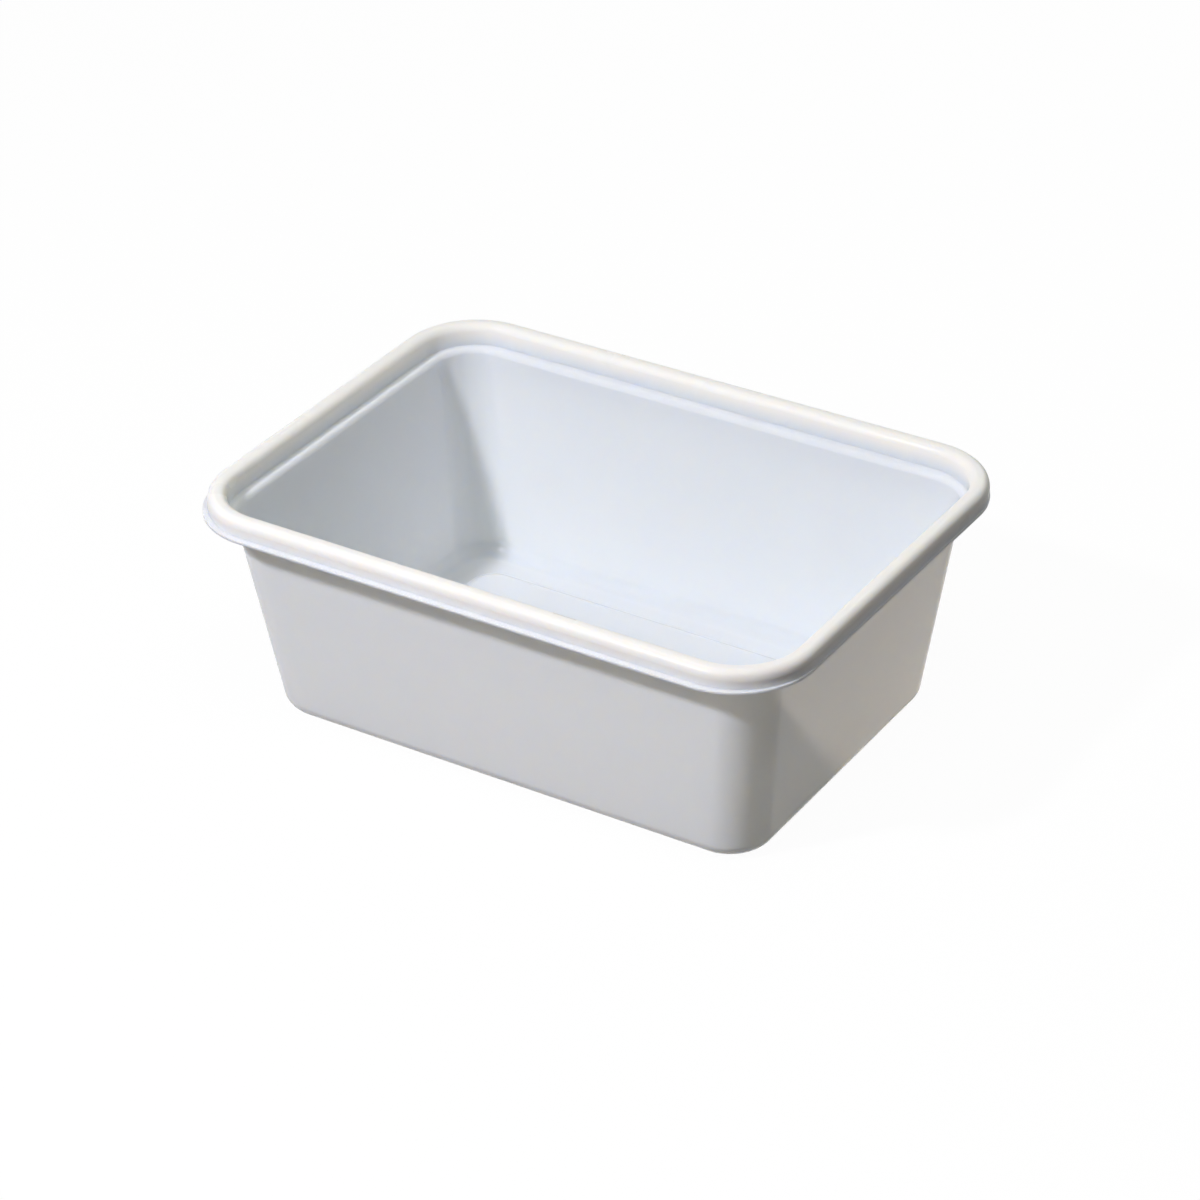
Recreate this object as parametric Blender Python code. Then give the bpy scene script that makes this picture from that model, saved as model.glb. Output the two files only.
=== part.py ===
"""A deep rectangular tray, formed in one piece from a thin white plastic sheet.

The sheet runs from the floor up four leaning walls to a narrow ledge, over a
hollow rolled rim and down its skirt to a thin trimmed lip. Its section is
drawn once, on the face that holds the contents, and moved by the sheet's
thickness for the other face. Both are carried round the tray as rings.

Metres, +Z up. The origin is under the middle of the trimmed outline, on the
plane that the foot stands on; +X runs along the long side.
"""

import math
from dataclasses import dataclass

import bmesh
import bpy
from mathutils import Vector

# Overall size
LENGTH = 0.1878
WIDTH = 0.1372
HEIGHT = 0.0700
SHEET = 0.0008

# Lip, the trimmed edge that turns out at the foot of the skirt; the trim line is off centre,
# so each side has its own width
LIP_DROP = 0.00505
LIP_LEFT = 0.0009
LIP_RIGHT = 0.0002
LIP_FRONT = 0.00165
LIP_BACK = 0.0006

# Rim, rolled over and open underneath
RIM_HALF_WIDTH = 0.0026
RIM_CORNER_RADIUS = 0.0198
SKIRT_FLARE = 0.0001

# Ledge inside the rim, where a lid rests
LEDGE_DROP = 0.0063
LEDGE_WIDTH = 0.0028
LEDGE_FLARE = 0.00035
LEDGE_FILLET = 0.0005
LEDGE_BEND = 0.0006

# Walls, leaning out by these angles at the two ends and along the two sides
END_DRAFT = math.radians(7.5)
SIDE_DRAFT = math.radians(7.0)
WALL_CORNER_RADIUS = 0.0120

# Floor: a flat foot all round, and a panel raised inside it
FLOOR_FILLET = 0.0047
FOOT_WIDTH = 0.0060
PANEL_RISE = 0.0008
PANEL_RAMP = 0.0018
PANEL_CORNER_RADIUS = 0.0060
PANEL_BEND = 0.0010

# How finely the bends are divided
PLAN_CORNER_STEPS = 10
LARGE_BEND_STEPS = 6
SMALL_BEND_STEPS = 2
SHARP_ANGLE = math.radians(30.0)

# White polypropylene
SHEET_COLOUR = (0.83, 0.84, 0.85, 1.0)
SHEET_ROUGHNESS = 0.28


@dataclass(frozen=True)
class Bend:
    """A corner of the section: its place before rounding, its radius and how finely it is divided."""

    out: float
    up: float
    radius: float = 0.0
    steps: int = SMALL_BEND_STEPS

    @property
    def place(self):
        return Vector((self.out, self.up))


def rim_half_sizes():
    """Half the length and half the width of the line that runs along the middle of the rim."""
    reach = RIM_HALF_WIDTH + SKIRT_FLARE
    return (LENGTH - LIP_LEFT - LIP_RIGHT) / 2 - reach, (WIDTH - LIP_FRONT - LIP_BACK) / 2 - reach


def moulding_middle():
    """Where the moulding's middle lies, seen from the middle of the trimmed outline."""
    return (LIP_LEFT - LIP_RIGHT) / 2, (LIP_FRONT - LIP_BACK) / 2


def section():
    """The corners of the section's upper face at an end wall, from the lip to the floor, by name.

    Out is measured from the middle of the rim, and the lip is drawn at its width on the left.
    """
    lip_top = HEIGHT - LIP_DROP
    skirt_foot = RIM_HALF_WIDTH + SKIRT_FLARE
    ledge_outer = -(RIM_HALF_WIDTH + LEDGE_FLARE)
    ledge_inner = ledge_outer - LEDGE_WIDTH
    ledge_top = HEIGHT - LEDGE_DROP
    wall_foot = ledge_inner - (ledge_top - SHEET) * math.tan(END_DRAFT)
    floor_bend = FLOOR_FILLET * math.tan((math.pi / 2 - END_DRAFT) / 2)
    foot_inner = wall_foot - floor_bend - FOOT_WIDTH
    panel_edge = foot_inner - PANEL_RAMP
    panel_top = SHEET + PANEL_RISE
    middle = -rim_half_sizes()[0]
    return {
        "lip edge": Bend(skirt_foot + LIP_LEFT, lip_top),
        "skirt foot": Bend(skirt_foot, lip_top),
        "crown outside": Bend(RIM_HALF_WIDTH, HEIGHT, RIM_HALF_WIDTH, LARGE_BEND_STEPS),
        "crown inside": Bend(-RIM_HALF_WIDTH, HEIGHT, RIM_HALF_WIDTH, LARGE_BEND_STEPS),
        "ledge outside": Bend(ledge_outer, ledge_top, LEDGE_FILLET),
        "ledge inside": Bend(ledge_inner, ledge_top, LEDGE_BEND + SHEET),
        "wall foot": Bend(wall_foot, SHEET, FLOOR_FILLET, LARGE_BEND_STEPS),
        "foot inside": Bend(foot_inner, SHEET, PANEL_BEND),
        "panel edge": Bend(panel_edge, panel_top, PANEL_BEND + SHEET),
        "middle": Bend(middle, panel_top),
    }


def turn(before, after):
    """Positive where the section turns left on its way in."""
    return before.x * after.y - before.y * after.x


def other_face(bends, thickness):
    """The section moved sideways by the sheet's thickness, to the sheet's lower face."""
    runs = [(b.place - a.place).normalized() for a, b in zip(bends, bends[1:])]
    moved = []
    for i, bend in enumerate(bends):
        before = runs[max(i - 1, 0)]
        after = runs[min(i, len(runs) - 1)]
        normal = Vector((-before.y - after.y, before.x + after.x)).normalized()
        reach = thickness / normal.dot(Vector((-after.y, after.x)))
        place = bend.place + normal * reach
        radius = bend.radius
        if radius:
            radius -= math.copysign(thickness, turn(before, after))
        moved.append(Bend(place.x, place.y, radius, bend.steps))
    return moved


def rounded(bends):
    """Points of the section with its inner corners rounded; the two ends are left out."""
    points = []
    for a, b, c in zip(bends, bends[1:], bends[2:]):
        if not b.radius:
            points.append(b.place)
            continue
        before = (b.place - a.place).normalized()
        after = (c.place - b.place).normalized()
        side = math.copysign(b.radius, turn(before, after))
        angle = before.angle(after)
        start = b.place - before * b.radius * math.tan(angle / 2)
        centre = start + Vector((-before.y, before.x)) * side
        for k in range(b.steps + 1):
            swing = math.copysign(angle * k / b.steps, side)
            arm = start - centre
            cos, sin = math.cos(swing), math.sin(swing)
            points.append(centre + Vector((arm.x * cos - arm.y * sin, arm.x * sin + arm.y * cos)))
    return points


def outline(half_length, half_width, radius, height, middle):
    """A rounded rectangle at one height, anticlockwise from the right end of the front side."""
    centre_x, centre_y = middle
    points = []
    for quarter, (sign_x, sign_y) in enumerate(((1, -1), (1, 1), (-1, 1), (-1, -1))):
        corner_x = centre_x + sign_x * (half_length - radius)
        corner_y = centre_y + sign_y * (half_width - radius)
        for k in range(PLAN_CORNER_STEPS + 1):
            angle = (quarter - 1 + k / PLAN_CORNER_STEPS) * math.pi / 2
            points.append((corner_x + radius * math.cos(angle), corner_y + radius * math.sin(angle), height))
    return points


def progress(value, start, end):
    """How far a value has come from start to end, from 0 to 1."""
    return min(max((value - start) / (end - start), 0.0), 1.0)


def corner_radius(point, bends):
    """The plan radius of the corners at one point of the section.

    The rim's corners follow its middle line. The walls' corners have a radius of their own, which
    they take on over the width of the ledge, and so has the panel, over the width of the foot.
    """
    seat, top, foot, inside = [bends[n] for n in ("ledge outside", "ledge inside", "wall foot", "foot inside")]
    over_ledge = progress(point.x, seat.out, top.out)
    down_wall = progress(point.y, top.up, foot.up)
    over_foot = progress(point.x, inside.out + FOOT_WIDTH, inside.out)
    wall_corner = WALL_CORNER_RADIUS - (RIM_CORNER_RADIUS + top.out)
    ramp_corner = PANEL_CORNER_RADIUS + PANEL_RAMP - (WALL_CORNER_RADIUS + inside.out - foot.out)
    return (
        RIM_CORNER_RADIUS + point.x
        + over_ledge * wall_corner
        + down_wall * (top.out - foot.out)
        + over_foot * ramp_corner
    )


def moulded_outline(point, bends):
    """The outline that one point of the section draws round the moulding."""
    top, foot = bends["ledge inside"], bends["wall foot"]
    down_wall = progress(point.y, top.up, foot.up)
    steeper = (top.up - foot.up) * (math.tan(SIDE_DRAFT) - math.tan(END_DRAFT))
    half_length, half_width = rim_half_sizes()
    return outline(
        half_length + point.x,
        half_width + point.x - down_wall * steeper,
        corner_radius(point, bends),
        point.y,
        moulding_middle(),
    )


def trimmed_outline(height):
    """The lip's cut edge at one height."""
    lip = (LIP_LEFT + LIP_RIGHT + LIP_FRONT + LIP_BACK) / 4
    radius = RIM_CORNER_RADIUS + RIM_HALF_WIDTH + SKIRT_FLARE + lip
    return outline(LENGTH / 2, WIDTH / 2, radius, height, (0.0, 0.0))


def extend(mesh, ring, points):
    """Extrudes a closed ring of vertices and sets the copy on the next outline."""
    edges = [mesh.edges.get(pair) for pair in zip(ring, ring[1:] + ring[:1])]
    made = bmesh.ops.extrude_edge_only(mesh, edges=edges)["geom"]
    fresh = {item for item in made if isinstance(item, bmesh.types.BMVert)}
    following = []
    for vertex, point in zip(ring, points):
        (copy,) = [edge.other_vert(vertex) for edge in vertex.link_edges if edge.other_vert(vertex) in fresh]
        copy.co = point
        following.append(copy)
    return following


def tray_mesh():
    """The whole sheet as one closed mesh: lower face from the middle out, cut edge, upper face back in."""
    bends = section()
    upper = list(bends.values())
    lower = other_face(upper, SHEET)
    rings = [moulded_outline(point, bends) for point in reversed(rounded(lower))]
    rings.append(trimmed_outline(lower[0].up))
    rings.append(trimmed_outline(upper[0].up))
    rings.extend(moulded_outline(point, bends) for point in rounded(upper))

    mesh = bmesh.new()
    ring = [mesh.verts.new(point) for point in rings[0]]
    mesh.faces.new(ring)
    for points in rings[1:]:
        ring = extend(mesh, ring, points)
    mesh.faces.new(ring)
    bmesh.ops.recalc_face_normals(mesh, faces=mesh.faces)
    data = bpy.data.meshes.new("tray_shell")
    mesh.to_mesh(data)
    mesh.free()
    data.shade_smooth()
    data.set_sharp_from_angle(angle=SHARP_ANGLE)
    return data


def white_sheet():
    """Glossy white plastic."""
    material = bpy.data.materials.new("white_sheet")
    material.use_nodes = True
    shader = material.node_tree.nodes["Principled BSDF"]
    shader.inputs["Base Color"].default_value = SHEET_COLOUR
    shader.inputs["Roughness"].default_value = SHEET_ROUGHNESS
    shader.inputs["Metallic"].default_value = 0.0
    return material


def tray_shell():
    """The tray, the only piece that the object has."""
    shell = bpy.data.objects.new("tray_shell", tray_mesh())
    shell.data.materials.append(white_sheet())
    bpy.context.scene.collection.objects.link(shell)
    return shell


for leftover in list(bpy.data.objects):
    bpy.data.objects.remove(leftover)
tray_shell()
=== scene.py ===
"""The looks of a deep white food tray that is formed in one piece from a thin plastic sheet.

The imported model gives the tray's box. A finer shell with the same section stands for it here,
with the small bends, the soft gloss and the faint marks that forming leaves on such a sheet.
Metres, +Z up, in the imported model's frame.
"""
import logging
import math
from dataclasses import dataclass, field
from typing import Any, Optional, Union

import bmesh
import bpy
from mathutils import Matrix, Vector


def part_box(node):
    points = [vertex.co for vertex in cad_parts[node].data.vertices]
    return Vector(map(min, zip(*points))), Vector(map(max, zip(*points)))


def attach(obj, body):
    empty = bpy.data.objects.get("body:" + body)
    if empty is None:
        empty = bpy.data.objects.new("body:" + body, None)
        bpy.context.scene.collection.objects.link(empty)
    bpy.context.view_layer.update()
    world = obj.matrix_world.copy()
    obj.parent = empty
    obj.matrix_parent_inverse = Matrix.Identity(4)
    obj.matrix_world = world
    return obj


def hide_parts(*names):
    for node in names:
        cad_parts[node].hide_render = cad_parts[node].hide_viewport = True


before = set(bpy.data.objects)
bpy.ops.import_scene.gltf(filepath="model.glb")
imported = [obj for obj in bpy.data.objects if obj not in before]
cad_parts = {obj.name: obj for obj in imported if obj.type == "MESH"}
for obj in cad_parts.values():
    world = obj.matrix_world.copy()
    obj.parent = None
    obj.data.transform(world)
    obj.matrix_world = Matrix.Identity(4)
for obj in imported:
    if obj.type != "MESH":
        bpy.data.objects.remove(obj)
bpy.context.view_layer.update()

log = logging.getLogger("tray")

MM = 0.001
WHITE = (1.0, 1.0, 1.0, 1.0)
ShaderInput = Union["Socket", float, tuple]


@dataclass(frozen=True)
class Bend:
    """One corner of the tray's section, drawn on the face that holds the contents.

    Args:
        out: how far outside the rim's middle line the corner lies.
        up: its height.
        radius: the bend's radius on that face; zero keeps the corner sharp.
        segments: how many flats the bend is made of.
    """

    out: float
    up: float
    radius: float = 0.0
    segments: int = 1


@dataclass(frozen=True)
class Outline:
    """A rounded rectangle at one height.

    Args:
        half_length: half its size along X.
        half_width: half its size along Y.
        radius: the radius of its corners.
        place: its middle.
    """

    half_length: float
    half_width: float
    radius: float
    place: Vector

    def moved(self, point: Vector, onto: "Outline") -> Vector:
        """Finds the place on another outline that matches a point of this one.

        Args:
            point: a point of this outline.
            onto: the other outline.

        Returns:
            The matching point.
        """
        result = onto.place.copy()
        halves = ((self.half_length, onto.half_length), (self.half_width, onto.half_width))
        for axis, (half, new_half) in enumerate(halves):
            straight, new_straight = half - self.radius, new_half - onto.radius
            along = point[axis] - self.place[axis]
            past = abs(along) - straight
            if past > 0.0:
                reach = new_straight + past * onto.radius / self.radius
            else:
                reach = abs(along) * new_straight / straight
            result[axis] += math.copysign(reach, along)
        return result


@dataclass
class TrayShell:
    """The whole tray: floor, walls, ledge, rolled rim, skirt and trimmed lip, which are one sheet.

    Args:
        low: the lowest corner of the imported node's box.
        high: its highest corner.
    """

    low: Vector
    high: Vector

    sheet: float = 0.80 * MM

    lip_drop: float = 5.05 * MM
    lip_left: float = 0.90 * MM
    lip_right: float = 0.20 * MM
    lip_front: float = 1.65 * MM
    lip_back: float = 0.60 * MM
    cut_edge_round: float = 0.08 * MM
    cut_edge_angle: float = math.radians(60.0)
    cut_edge_steps: int = 2

    rim_half_width: float = 2.60 * MM
    rim_inner_radius: float = 2.30 * MM
    rim_outer_radius: float = 2.20 * MM
    shoulder_out: float = 1.70 * MM
    rim_corner_radius: float = 19.8 * MM
    skirt_flare: float = 0.10 * MM
    skirt_bend: float = 0.12 * MM
    skirt_bow_out: float = 2.74 * MM
    skirt_bow_drop: float = 2.00 * MM
    skirt_bow_radius: float = 3.30 * MM

    ledge_drop: float = 6.30 * MM
    ledge_width: float = 2.80 * MM
    ledge_flare: float = 0.35 * MM
    ledge_fall: float = 0.40 * MM
    ledge_fillet: float = 0.40 * MM
    ledge_bend: float = 1.05 * MM

    end_draft: float = math.radians(7.5)
    side_draft: float = math.radians(7.0)
    wall_corner_radius: float = 12.0 * MM

    floor_fillet: float = 4.70 * MM
    foot_width: float = 6.00 * MM
    panel_rise: float = 0.80 * MM
    panel_ramp: float = 1.80 * MM
    panel_corner_radius: float = 6.00 * MM
    panel_bend: float = 2.50 * MM

    corner_steps: int = 24
    large_bend_steps: int = 18
    small_bend_steps: int = 6
    long_side_cells: int = 30
    short_side_cells: int = 20
    wall_cells: int = 16
    merge_distance: float = 0.001 * MM

    mesh: bmesh.types.BMesh = field(default_factory=bmesh.new, repr=False)

    @property
    def height(self) -> float:
        """The tray's whole height."""
        return self.high.z - self.low.z

    @property
    def rim_reach(self) -> float:
        """From the rim's middle line to the foot of its skirt."""
        return self.rim_half_width + self.skirt_flare

    @property
    def rim_half_sizes(self) -> tuple[float, float]:
        """Half the length and half the width of the rim's middle line.

        Returns:
            The two half sizes.
        """
        length = self.high.x - self.low.x - self.lip_left - self.lip_right
        width = self.high.y - self.low.y - self.lip_front - self.lip_back
        return length / 2 - self.rim_reach, width / 2 - self.rim_reach

    @property
    def trimmed_middle(self) -> Vector:
        """The middle of the cut outline, on the plane that the tray stands on."""
        middle = (self.low + self.high) / 2
        return Vector((middle.x, middle.y, self.low.z))

    @property
    def moulding_middle(self) -> Vector:
        """The middle of the moulding, a little off that of the cut outline."""
        shift = Vector((self.lip_left - self.lip_right, self.lip_front - self.lip_back, 0.0)) / 2
        return self.trimmed_middle + shift

    def section(self) -> dict[str, Bend]:
        """The corners of the section at an end wall, from the skirt to the floor's panel.

        Returns:
            The corners by name, in the order in which the sheet meets them.
        """
        ledge_outer = -(self.rim_half_width + self.ledge_flare)
        ledge_inner = ledge_outer - self.ledge_width
        ledge_top = self.height - self.ledge_drop
        wall_foot = ledge_inner - (ledge_top - self.sheet) * math.tan(self.end_draft)
        floor_bend = self.floor_fillet * math.tan((math.pi / 2 - self.end_draft) / 2)
        foot_inner = wall_foot - floor_bend - self.foot_width
        panel_top = self.sheet + self.panel_rise
        small, large = self.small_bend_steps, self.large_bend_steps
        return {
            "skirt foot": Bend(self.rim_reach, self.height - self.lip_drop, self.skirt_bend, small),
            "skirt bow": Bend(
                self.skirt_bow_out, self.height - self.skirt_bow_drop, self.skirt_bow_radius, small
            ),
            "crown outside": Bend(self.shoulder_out, self.height, self.rim_outer_radius, large),
            "crown inside": Bend(-self.rim_half_width, self.height, self.rim_inner_radius, large),
            "ledge outside": Bend(ledge_outer, ledge_top, self.ledge_fillet, small),
            "ledge inside": Bend(
                ledge_inner - self.ledge_fall * math.tan(self.end_draft),
                ledge_top - self.ledge_fall,
                self.ledge_bend + self.sheet,
                large,
            ),
            "wall foot": Bend(wall_foot, self.sheet, self.floor_fillet, large),
            "foot inside": Bend(foot_inner, self.sheet, self.panel_bend, small),
            "panel edge": Bend(
                foot_inner - self.panel_ramp, panel_top, self.panel_bend + self.sheet, small
            ),
        }

    def moulded_outline(self, name: str, bends: dict[str, Bend]) -> Outline:
        """The line that one corner of the section draws round the moulding.

        The rim's corners follow its middle line. The walls and the panel have radii of their own.

        Args:
            name: the corner's name in the section.
            bends: the section.

        Returns:
            The line.
        """
        bend = bends[name]
        half_length, half_width = self.rim_half_sizes
        if name in ("wall foot", "foot inside", "panel edge"):
            rise = bends["ledge inside"].up - bends["wall foot"].up
            half_width -= rise * (math.tan(self.side_draft) - math.tan(self.end_draft))
        radius = {
            "ledge inside": self.wall_corner_radius,
            "wall foot": self.wall_corner_radius,
            "foot inside": self.panel_corner_radius + self.panel_ramp,
            "panel edge": self.panel_corner_radius,
        }.get(name, self.rim_corner_radius + bend.out)
        place = self.moulding_middle + Vector((0.0, 0.0, bend.up))
        return Outline(half_length + bend.out, half_width + bend.out, radius, place)

    def trimmed_outline(self, height: float) -> Outline:
        """The lip's cut edge.

        Args:
            height: how high it lies.

        Returns:
            The line.
        """
        lip = (self.lip_left + self.lip_right + self.lip_front + self.lip_back) / 4
        half = (self.high - self.low) / 2
        place = self.trimmed_middle + Vector((0.0, 0.0, height))
        return Outline(half.x, half.y, self.rim_corner_radius + self.rim_reach + lip, place)

    def drawn(self, outline: Outline) -> list:
        """Draws an outline.

        Args:
            outline: the rounded rectangle to draw.

        Returns:
            Its edges.
        """
        corners = bmesh.ops.create_grid(self.mesh, x_segments=1, y_segments=1, size=1.0)["verts"]
        bmesh.ops.scale(self.mesh, vec=(outline.half_length, outline.half_width, 1.0), verts=corners)
        bmesh.ops.translate(self.mesh, vec=outline.place, verts=corners)
        bmesh.ops.bevel(
            self.mesh,
            geom=corners,
            affect="VERTICES",
            offset=outline.radius,
            offset_type="OFFSET",
            segments=self.corner_steps,
            profile=0.5,
            material=-1,
        )
        bmesh.ops.delete(self.mesh, geom=self.mesh.faces[:], context="FACES_ONLY")
        for across, cells in ((1, self.long_side_cells), (0, self.short_side_cells)):
            straight = [
                edge
                for edge in self.mesh.edges
                if abs(edge.verts[0].co[across] - edge.verts[1].co[across]) < self.merge_distance
            ]
            bmesh.ops.subdivide_edges(self.mesh, edges=straight, cuts=cells - 1)
        return self.mesh.edges[:]

    def drawn_on(self, edges: list, outline: Outline, onto: Outline) -> list:
        """Draws the sheet on from one outline to the next.

        Args:
            edges: the edges along the first outline.
            outline: the first outline.
            onto: the next one.

        Returns:
            The edges along the next outline.
        """
        made = bmesh.ops.extrude_edge_only(self.mesh, edges=edges)["geom"]
        ends = {item for item in made if isinstance(item, bmesh.types.BMVert)}
        for vert in ends:
            vert.co = outline.moved(vert.co, onto)
        made_edges = [item for item in made if isinstance(item, bmesh.types.BMEdge)]
        return [edge for edge in made_edges if set(edge.verts) <= ends]

    def build(self) -> bpy.types.Object:
        """Builds the shell.

        Returns:
            The tray's object, at the origin.
        """
        bends = self.section()
        outline = self.trimmed_outline(bends["skirt foot"].up)
        edges = self.drawn(outline)
        rings = {}
        for name in bends:
            onto = self.moulded_outline(name, bends)
            edges = self.drawn_on(edges, outline, onto)
            rings[name], outline = edges, onto
        (panel,) = bmesh.ops.contextual_create(self.mesh, geom=edges)["faces"]
        if panel.normal.z < 0.0:
            panel.normal_flip()
        bmesh.ops.recalc_face_normals(self.mesh, faces=self.mesh.faces)
        self.round_bends(bends, rings)
        bmesh.ops.remove_doubles(self.mesh, verts=self.mesh.verts, dist=self.merge_distance)
        tall = [
            edge
            for edge in self.mesh.edges
            if abs(edge.verts[0].co.z - edge.verts[1].co.z) > self.height / 2
        ]
        bmesh.ops.subdivide_edges(self.mesh, edges=tall, cuts=self.wall_cells - 1, use_grid_fill=True)
        widest = max(self.mesh.faces, key=bmesh.types.BMFace.calc_area)
        if widest.normal.z < 0.0:
            bmesh.ops.reverse_faces(self.mesh, faces=self.mesh.faces)
        return self.finished("tray")

    def round_bends(self, bends: dict[str, Bend], rings: dict[str, list]) -> None:
        """Rounds each corner of the section to its own radius.

        Args:
            bends: the section.
            rings: the edges that each corner draws round the moulding.
        """
        for name, bend in bends.items():
            edges = rings[name]
            angle = edges[0].calc_face_angle()
            bmesh.ops.bevel(
                self.mesh,
                geom=edges,
                affect="EDGES",
                offset=bend.radius * math.tan(angle / 2),
                offset_type="OFFSET",
                segments=bend.segments,
                profile=0.5,
                material=-1,
                clamp_overlap=False,
            )

    def finished(self, name: str) -> bpy.types.Object:
        """Turns the mesh into an object with the sheet's thickness and a softened cut edge.

        Args:
            name: the object's name.

        Returns:
            The object.
        """
        data = bpy.data.meshes.new(name)
        self.mesh.to_mesh(data)
        self.mesh.free()
        data.shade_smooth()
        tray = bpy.data.objects.new(name, data)
        bpy.context.scene.collection.objects.link(tray)
        thickness = tray.modifiers.new("sheet", "SOLIDIFY")
        thickness.thickness = self.sheet
        thickness.offset = -1.0
        thickness.use_even_offset = True
        cut_edge = tray.modifiers.new("cut edge", "BEVEL")
        cut_edge.width = self.cut_edge_round
        cut_edge.segments = self.cut_edge_steps
        cut_edge.limit_method = "ANGLE"
        cut_edge.angle_limit = self.cut_edge_angle
        normals = tray.modifiers.new("flat walls", "WEIGHTED_NORMAL")
        normals.mode = "FACE_AREA"
        return tray


class Socket:
    """A value inside a material, on which arithmetic can be written.

    Args:
        graph: the material's graph.
        link: the output socket that carries the value.
    """

    def __init__(self, graph: "Graph", link: bpy.types.NodeSocket) -> None:
        self.graph = graph
        self.link = link

    def __add__(self, other: ShaderInput) -> "Socket":
        """The sum."""
        return self.graph.maths("ADD", self, other)

    __radd__ = __add__

    def __sub__(self, other: ShaderInput) -> "Socket":
        """The difference."""
        return self.graph.maths("SUBTRACT", self, other)

    def __rsub__(self, other: ShaderInput) -> "Socket":
        """The difference, the other way round."""
        return self.graph.maths("SUBTRACT", other, self)

    def __mul__(self, other: ShaderInput) -> "Socket":
        """The product."""
        return self.graph.maths("MULTIPLY", self, other)

    __rmul__ = __mul__

    def clamped(self) -> "Socket":
        """The value kept between 0 and 1."""
        return self.graph.maths("ADD", self, 0.0, use_clamp=True)


class Graph:
    """The nodes of one material or of the world.

    A Mix node has a set of sockets for each kind of data. Those for colours are used here.

    Args:
        tree: its node tree.
    """

    MIX_SHARE = 0
    MIX_FIRST = 6
    MIX_SECOND = 7
    MIX_RESULT = 2

    def __init__(self, tree: bpy.types.NodeTree) -> None:
        self.tree = tree
        self.tree.nodes.clear()

    def node(self, kind: str, sockets: Optional[dict] = None, **settings: Any) -> bpy.types.Node:
        """Adds a node.

        Args:
            kind: the node's type.
            sockets: values or links of its inputs, by name or number.
            settings: its properties, which are set first.

        Returns:
            The node.
        """
        node = self.tree.nodes.new(kind)
        for name, value in settings.items():
            setattr(node, name, value)
        for name, value in (sockets or {}).items():
            if isinstance(value, Socket):
                self.tree.links.new(value.link, node.inputs[name])
            else:
                node.inputs[name].default_value = value
        return node

    def output(
        self, kind: str, name: Union[str, int], sockets: Optional[dict] = None, **settings: Any
    ) -> Socket:
        """Adds a node and returns one of its outputs."""
        return Socket(self, self.node(kind, sockets, **settings).outputs[name])

    def maths(self, operation: str, *values: ShaderInput, use_clamp: bool = False) -> Socket:
        """One Math node."""
        return self.output(
            "ShaderNodeMath", 0, dict(enumerate(values)), operation=operation, use_clamp=use_clamp
        )

    def mixed(self, share: ShaderInput, first: ShaderInput, second: ShaderInput) -> Socket:
        """A colour between two colours."""
        sockets = {self.MIX_SHARE: share, self.MIX_FIRST: first, self.MIX_SECOND: second}
        return self.output("ShaderNodeMix", self.MIX_RESULT, sockets, data_type="RGBA")


@dataclass(frozen=True)
class Gloss:
    """The look of one kind of place on the sheet.

    Args:
        colour: its colour.
        roughness: its roughness where it shines most.
        light_depth: how deep light goes into it.
    """

    colour: tuple
    roughness: float
    light_depth: float


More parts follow.
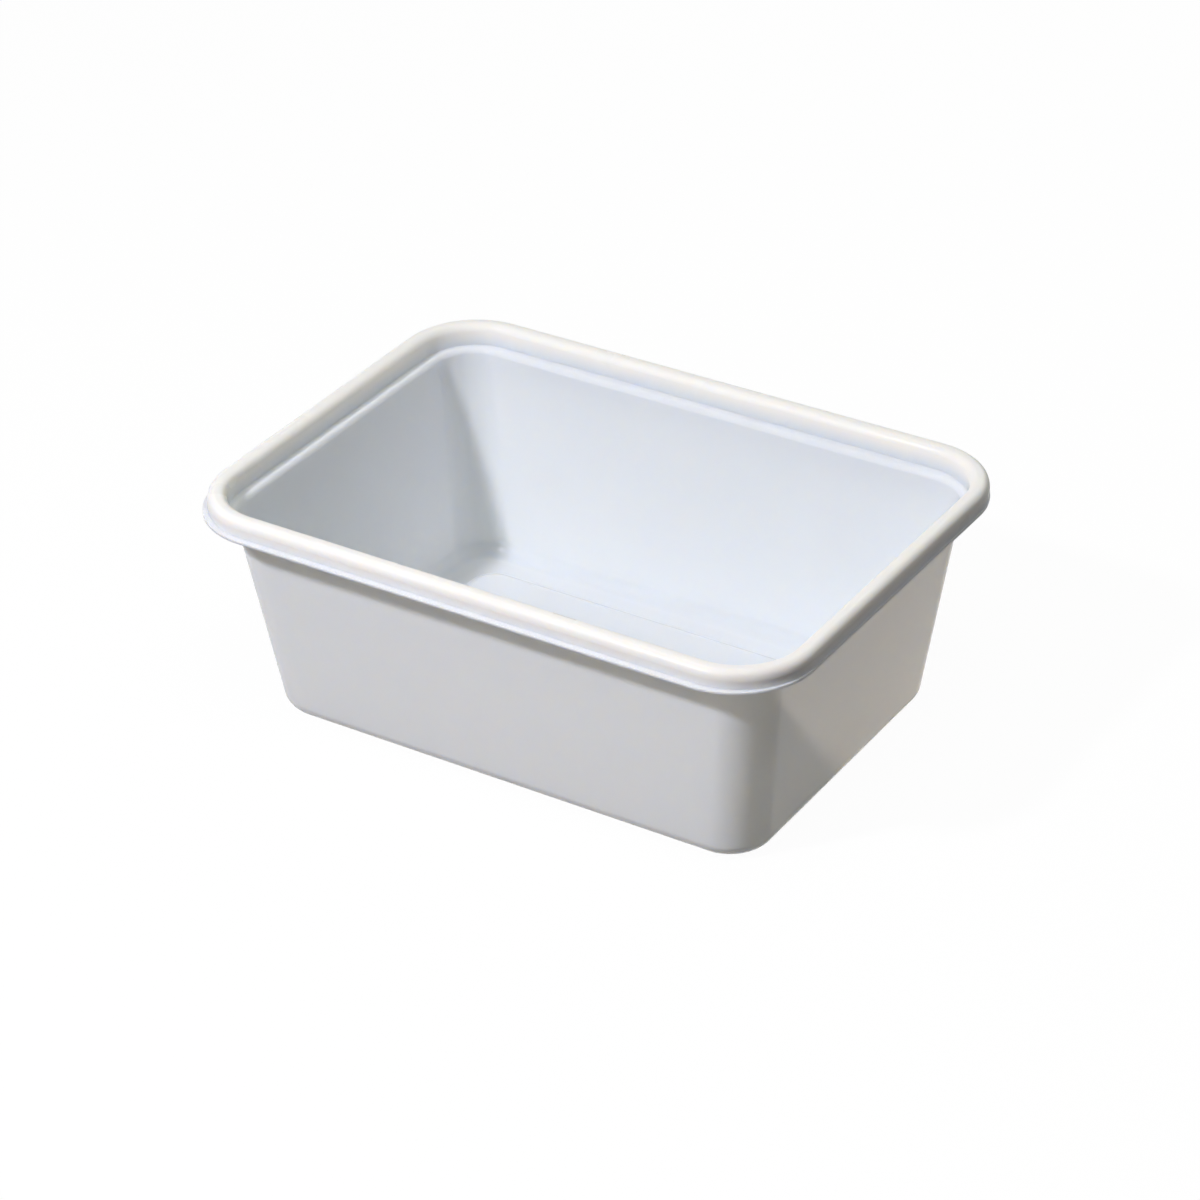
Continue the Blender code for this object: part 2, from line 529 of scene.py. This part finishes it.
@dataclass(frozen=True)
class SheetFinish:
    """White polypropylene sheet, as it comes out of its mould.

    The rim keeps the sheet's first thickness, so it is a fuller white with a softer gloss.
    Its warmer tint is a painted highlight: the lamps' warm shine on the crown, put into its colour.
    All below was stretched: it shines more, and light goes deeper into it.

    Args:
        stretched: the walls and the floor.
        rim: the rim, whose warmer tint is a painted highlight.
        rim_height: how far below the rim's top the stretched sheet begins.
        blend_height: the height over which one passes into the other.
        depth_shares: how deep red, green and blue light go, as shares of the depth.
        shine: the strength of the reflections, where 0.5 is that of a common plastic.
        cloud_share: how much the faint clouds darken the sheet.
        cloud_size: the size of a cloud.
        cloud_detail: how many finer layers of noise a cloud has.
        cloud_roughness: how much duller a cloud is.
        peel_size: the width of one bump of the faint orange peel.
        peel_detail: how many finer layers of noise the peel has.
        peel_height: its height.
    """

    stretched: Gloss = Gloss((0.87, 0.89, 0.90, 1.0), 0.09, 3.7 * MM)
    # The rim's colour is a fuller white, as its thicker sheet is, and warmer as a painted highlight of
    # the lamps' warm shine on the crown.
    rim: Gloss = Gloss((0.95, 0.89, 0.84, 1.0), 0.25, 1.5 * MM)
    rim_height: float = 5.5 * MM
    blend_height: float = 3.0 * MM
    depth_shares: tuple = (1.0, 0.85, 0.65)
    shine: float = 0.12
    cloud_share: float = 0.04
    cloud_size: float = 24.0 * MM
    cloud_detail: float = 3.0
    cloud_roughness: float = 0.06
    peel_size: float = 2.2 * MM
    peel_detail: float = 1.0
    peel_height: float = 0.004 * MM

    def material(self, name: str, top: float) -> bpy.types.Material:
        """Makes the material.

        Args:
            name: the material's name.
            top: the height of the rim's top.

        Returns:
            The material.
        """
        material = bpy.data.materials.new(name)
        material.use_nodes = True
        graph = Graph(material.node_tree)
        place = graph.output("ShaderNodeTexCoord", "Object")
        height = graph.output("ShaderNodeSeparateXYZ", "Z", {"Vector": place})
        start = top - self.rim_height
        # Mask of the rim by height: it gives the rim its softer gloss, shallower light and fuller
        # white with a painted warm highlight.
        rim = ((height - start) * (1.0 / self.blend_height)).clamped()
        clouds = self.noise(graph, place, self.cloud_size, self.cloud_detail)
        peel = self.noise(graph, place, self.peel_size, self.peel_detail)
        bump = graph.output("ShaderNodeBump", "Normal", {"Height": peel, "Distance": self.peel_height})
        shaders = [self.shader(graph, gloss, clouds, bump) for gloss in (self.stretched, self.rim)]
        mixed = graph.output("ShaderNodeMixShader", 0, {0: rim, 1: shaders[0], 2: shaders[1]})
        graph.node("ShaderNodeOutputMaterial", {"Surface": mixed})
        return material

    @staticmethod
    def noise(graph: Graph, place: Socket, size: float, detail: float) -> Socket:
        """Soft noise of one size."""
        sockets = {"Vector": place, "Scale": 1.0 / size, "Detail": detail}
        return graph.output("ShaderNodeTexNoise", "Fac", sockets)

    def shader(self, graph: Graph, gloss: Gloss, clouds: Socket, bump: Socket) -> Socket:
        """Makes the shader of one kind of place.

        Args:
            graph: the material's graph.
            gloss: the kind of place.
            clouds: the clouds, from 0 to 1.
            bump: the normal with the orange peel.

        Returns:
            The shader.
        """
        shade = tuple(value * (1.0 - self.cloud_share) for value in gloss.colour[:3]) + (1.0,)
        sockets = {
            "Base Color": graph.mixed(clouds, gloss.colour, shade),
            "Roughness": gloss.roughness + clouds * self.cloud_roughness,
            "Specular IOR Level": self.shine,
            "Subsurface Weight": 1.0,
            "Subsurface Radius": self.depth_shares,
            "Subsurface Scale": gloss.light_depth,
            "Normal": bump,
        }
        return graph.output("ShaderNodeBsdfPrincipled", "BSDF", sockets)


@dataclass(frozen=True)
class Lamp:
    """One square lamp that faces the tray.

    Args:
        name: where it stands.
        azimuth: its direction round the tray; 0 is in front and 90 to the right.
        elevation: its direction above the horizon.
        distance: how far it stands from the tray's middle.
        size: the side of its square panel.
        power: its power in watts.
        colour: its colour.
    """

    name: str
    azimuth: float
    elevation: float
    distance: float
    size: float
    power: float
    colour: tuple

    def hang(self, aim: Vector) -> bpy.types.Object:
        """Hangs the lamp.

        Args:
            aim: the point that it faces.

        Returns:
            The lamp.
        """
        light = bpy.data.lights.new(self.name, "AREA")
        light.shape = "SQUARE"
        light.size = self.size
        light.energy = self.power
        light.color = self.colour
        lamp = bpy.data.objects.new(self.name, light)
        back = direction(self.azimuth, self.elevation)
        lamp.location = aim + back * self.distance
        lamp.rotation_euler = back.to_track_quat("Z", "Y").to_euler()
        bpy.context.scene.collection.objects.link(lamp)
        return lamp


def direction(azimuth: float, elevation: float) -> Vector:
    """The unit vector from the tray towards a place around it, both angles in degrees."""
    turn, rise = math.radians(azimuth), math.radians(elevation)
    return Vector((math.sin(turn) * math.cos(rise), -math.cos(turn) * math.cos(rise), math.sin(rise)))


@dataclass(frozen=True)
class Viewpoint:
    """The camera, as the photograph's perspective gives it.

    Args:
        azimuth: its direction round the tray, in degrees.
        elevation: its direction above the horizon, in degrees.
        distance: how far it stands from the tray's middle.
        roll: how far it is turned about its own axis, in degrees.
        sensor: the width of its sensor, in millimetres.
        lens: its focal length, in millimetres.
        shift_shares: the picture's small shift, as shares of its width.
    """

    azimuth: float = 32.717
    elevation: float = 31.263
    distance: float = 1.096
    roll: float = -1.184
    sensor: float = 36.0
    lens: float = 119.04
    shift_shares: tuple = (-0.0003, -0.0074)

    def place(self, aim: Vector) -> bpy.types.Object:
        """Places the camera and makes it the scene's.

        Args:
            aim: the point that it looks at.

        Returns:
            The camera.
        """
        view = bpy.data.cameras.new("camera")
        view.sensor_width = self.sensor
        view.lens = self.lens
        view.shift_x, view.shift_y = self.shift_shares
        camera = bpy.data.objects.new("camera", view)
        back = direction(self.azimuth, self.elevation)
        level = back.to_track_quat("Z", "Y").to_matrix()
        rolled = level @ Matrix.Rotation(math.radians(self.roll), 3, "Z")
        camera.matrix_world = Matrix.Translation(aim + back * self.distance) @ rolled.to_4x4()
        bpy.context.scene.collection.objects.link(camera)
        bpy.context.scene.camera = camera
        return camera


@dataclass
class Studio:
    """A plain floor under a few lamps, with a white ground behind.

    Args:
        aim: the tray's middle, which the lamps and the camera face.
        viewpoint: the camera.
        lamps: the lamps.
        floor_half: half the floor's size.
        floor_gap: how far the floor lies below the tray's foot.
        floor_white: the floor's colour as it is seen, straight or in a reflection.
        floor_bounce: its colour for the light that it throws back.
        floor_glow: how much of the floor's white doesn't depend on the lamps, so that the shadow
            stays faint.
        sky_colour: the colour of the plain light from all round.
        sky_strength: its strength.
    """

    aim: Vector
    viewpoint: Viewpoint = Viewpoint()
    lamps: tuple = (
        Lamp("key lamp", -23.0, 44.3, 1.2, 0.09, 11.8, (0.96, 0.94, 0.98)),
        Lamp("front right panel", 45.0, 72.0, 0.9, 0.4, 2.25, (1.0, 0.97, 0.87)),
        Lamp("back right panel", 135.0, 50.0, 0.9, 0.5, 0.5, (0.9, 0.87, 1.0)),
        Lamp("back panel", 180.0, 35.0, 0.9, 0.5, 1.5, (0.9, 1.0, 0.85)),
        Lamp("front panel", 0.0, 30.0, 0.9, 0.5, 0.5, (0.8, 0.8, 1.0)),
    )
    floor_half: float = 3.0
    floor_gap: float = 0.05 * MM
    floor_white: tuple = (1.0, 1.0, 1.0, 1.0)
    floor_bounce: tuple = (0.18, 0.18, 0.19, 1.0)
    floor_glow: float = 0.97
    sky_colour: tuple = (0.9, 0.95, 1.0, 1.0)
    sky_strength: float = 0.01

    def floor_material(self) -> bpy.types.Material:
        """The floor looks white with a faint shadow of the tray, and throws little light back on it.

        Returns:
            The material.
        """
        material = bpy.data.materials.new("floor")
        material.use_nodes = True
        graph = Graph(material.node_tree)
        colour = graph.mixed(self.seen(graph), self.floor_bounce, self.floor_white)
        matt = graph.output("ShaderNodeBsdfDiffuse", "BSDF", {"Color": colour})
        glow = graph.output("ShaderNodeEmission", "Emission", {"Color": WHITE})
        share = self.seen(graph) * self.floor_glow
        mixed = graph.output("ShaderNodeMixShader", 0, {0: share, 1: matt, 2: glow})
        graph.node("ShaderNodeOutputMaterial", {"Surface": mixed})
        return material

    @staticmethod
    def seen(graph: Graph) -> Socket:
        """Is 1 for what the camera sees, straight, in a glossy face or through a clear one.

        Args:
            graph: the graph of the floor's material or of the world.

        Returns:
            The value, which is 0 for light that spreads.
        """
        path = graph.node("ShaderNodeLightPath")
        rays = Socket(graph, path.outputs["Is Camera Ray"])
        rays = rays + Socket(graph, path.outputs["Is Glossy Ray"])
        rays = rays + Socket(graph, path.outputs["Is Transmission Ray"])
        return rays.clamped()

    def lay_floor(self, height: float) -> None:
        """Lays the floor just under the tray's foot.

        Args:
            height: the height of the plane that the tray stands on.
        """
        mesh = bmesh.new()
        bmesh.ops.create_grid(mesh, x_segments=1, y_segments=1, size=self.floor_half)
        place = (self.aim.x, self.aim.y, height - self.floor_gap)
        bmesh.ops.translate(mesh, vec=place, verts=mesh.verts)
        data = bpy.data.meshes.new("floor")
        mesh.to_mesh(data)
        mesh.free()
        floor = bpy.data.objects.new("floor", data)
        floor.data.materials.append(self.floor_material())
        bpy.context.scene.collection.objects.link(floor)

    def raise_sky(self) -> None:
        """Gives the world a plain level of light, and white where it is seen."""
        world = bpy.data.worlds.new("studio")
        world.use_nodes = True
        graph = Graph(world.node_tree)
        fill = graph.output(
            "ShaderNodeBackground", 0, {"Color": self.sky_colour, "Strength": self.sky_strength}
        )
        white = graph.output("ShaderNodeBackground", 0, {"Color": WHITE, "Strength": 1.0})
        mixed = graph.output("ShaderNodeMixShader", 0, {0: self.seen(graph), 1: fill, 2: white})
        graph.node("ShaderNodeOutputWorld", {"Surface": mixed})
        bpy.context.scene.world = world

    def set_up(self, height: float) -> None:
        """Sets up the whole studio.

        Args:
            height: the height of the plane that the tray stands on.
        """
        bpy.context.scene.view_settings.view_transform = "Standard"
        self.lay_floor(height)
        self.raise_sky()
        for lamp in self.lamps:
            lamp.hang(self.aim)
        self.viewpoint.place(self.aim)


def main() -> None:
    """Builds the tray in its studio and reports each piece."""
    logging.basicConfig(level=logging.INFO, format="%(name)s: %(message)s")
    shell = TrayShell(*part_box("tray_shell"))
    middle = shell.moulding_middle
    tray = shell.build()
    tray.data.materials.append(SheetFinish().material("glossy white sheet", shell.high.z))
    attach(tray, "root")
    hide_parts("tray_shell")
    log.info("%s has %d faces before its thickness", tray.name, len(tray.data.polygons))
    Studio(aim=middle + Vector((0.0, 0.0, shell.height / 2))).set_up(middle.z)


if __name__ == "__main__":
    main()
